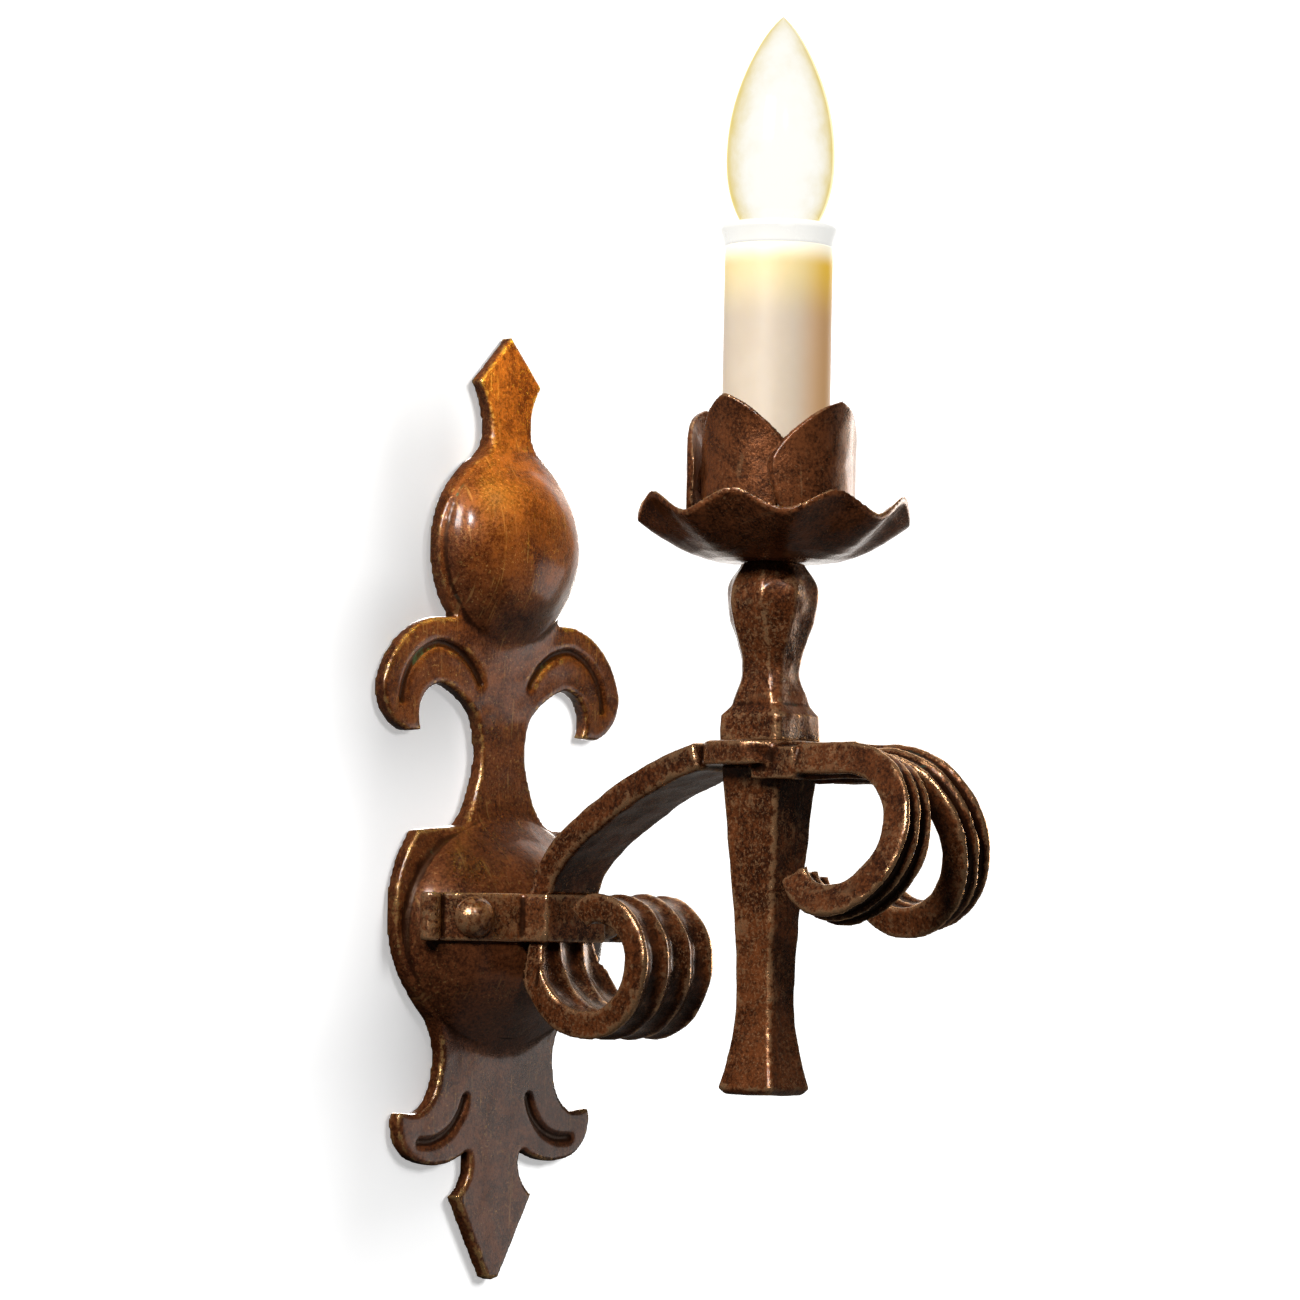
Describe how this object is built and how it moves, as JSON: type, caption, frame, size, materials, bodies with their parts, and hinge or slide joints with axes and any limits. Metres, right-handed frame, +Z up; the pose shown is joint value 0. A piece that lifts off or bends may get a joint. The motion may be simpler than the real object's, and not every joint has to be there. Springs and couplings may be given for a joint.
{
  "type": "candle wall light",
  "caption": "Forged iron candle wall light: fleur-shaped plate with raised domes, strapped arching arm with fluted scrolls, drip pan, leaf cup and candle sleeve with a screw-in candle lamp.",
  "frame": {"origin": "on the wall plane, midway between the two keyhole entries in the hanger bar", "axes": "+Z up along the wall, +Y into the wall, the light stands out towards -Y; X to the right seen from the front"},
  "size_m": [0.1144, 0.1953, 0.4116],
  "materials": {
    "forged_iron": "hammered, rust-brown wax with rubbed bronze edges",
    "zinc_steel": "zinc plated",
    "contact_brass": "bare",
    "block_plastic": "moulded",
    "bush_rubber": "soft",
    "lead_sheath": "extruded",
    "candle_cream": "satin cream",
    "collar_white": "gloss white",
    "holder_plastic": "moulded",
    "lamp_glass": "clear, lit",
    "cap_metal": "nickel plated",
    "cap_insulator": "black glass",
    "mount_glass": "clear",
    "lamp_wire": "bare",
    "filament": "glowing"
  },
  "bodies": {
    "frame": {"back_plate": "forged_iron", "clamp_strap": "forged_iron", "strap_rivets": "forged_iron", "arm_bar": "forged_iron", "rear_scroll": "forged_iron", "front_scroll_left": "forged_iron", "front_scroll_right": "forged_iron", "baluster": "forged_iron", "drop_shank": "forged_iron", "drip_pan": "forged_iron", "leaf_strip_outer": "forged_iron", "leaf_strip_inner": "forged_iron", "hanger_bar": "zinc_steel", "terminal_screws": "zinc_steel", "earth_screw": "zinc_steel", "threaded_tube": "zinc_steel", "lock_washer": "zinc_steel", "lock_nut": "zinc_steel", "lampholder_screws": "zinc_steel", "lampholder_shell": "contact_brass", "lampholder_contact": "contact_brass", "terminal_block": "block_plastic", "cable_bush": "bush_rubber", "supply_lead": "lead_sheath", "candle_sleeve": "candle_cream", "lampholder_collar": "collar_white", "lampholder_base": "holder_plastic", "lampholder_body": "holder_plastic", "lampholder_insert": "holder_plastic"},
    "lamp_carrier": {"bulb_contact": "contact_brass"},
    "lamp": {"bulb_glass": "lamp_glass", "bulb_cap": "cap_metal", "bulb_insulator": "cap_insulator", "bulb_stem": "mount_glass", "bulb_leads": "lamp_wire", "bulb_filament": "filament"}
  },
  "joints": [
    {"name": "lamp_rise", "type": "slide", "parent": "frame", "child": "lamp_carrier", "axis": [0, 0, 1], "range_m": [0, 0.0128]},
    {"name": "lamp_turn", "type": "hinge", "parent": "lamp_carrier", "child": "lamp", "pos_m": [0, -0.122, 0.2], "axis": [0, 0, 1], "range_deg": [0, 1620]}
  ],
  "couplings": [
    {"joint": "lamp_rise", "follows": "lamp_turn", "m_per_rad": 0.00044914}
  ]
}
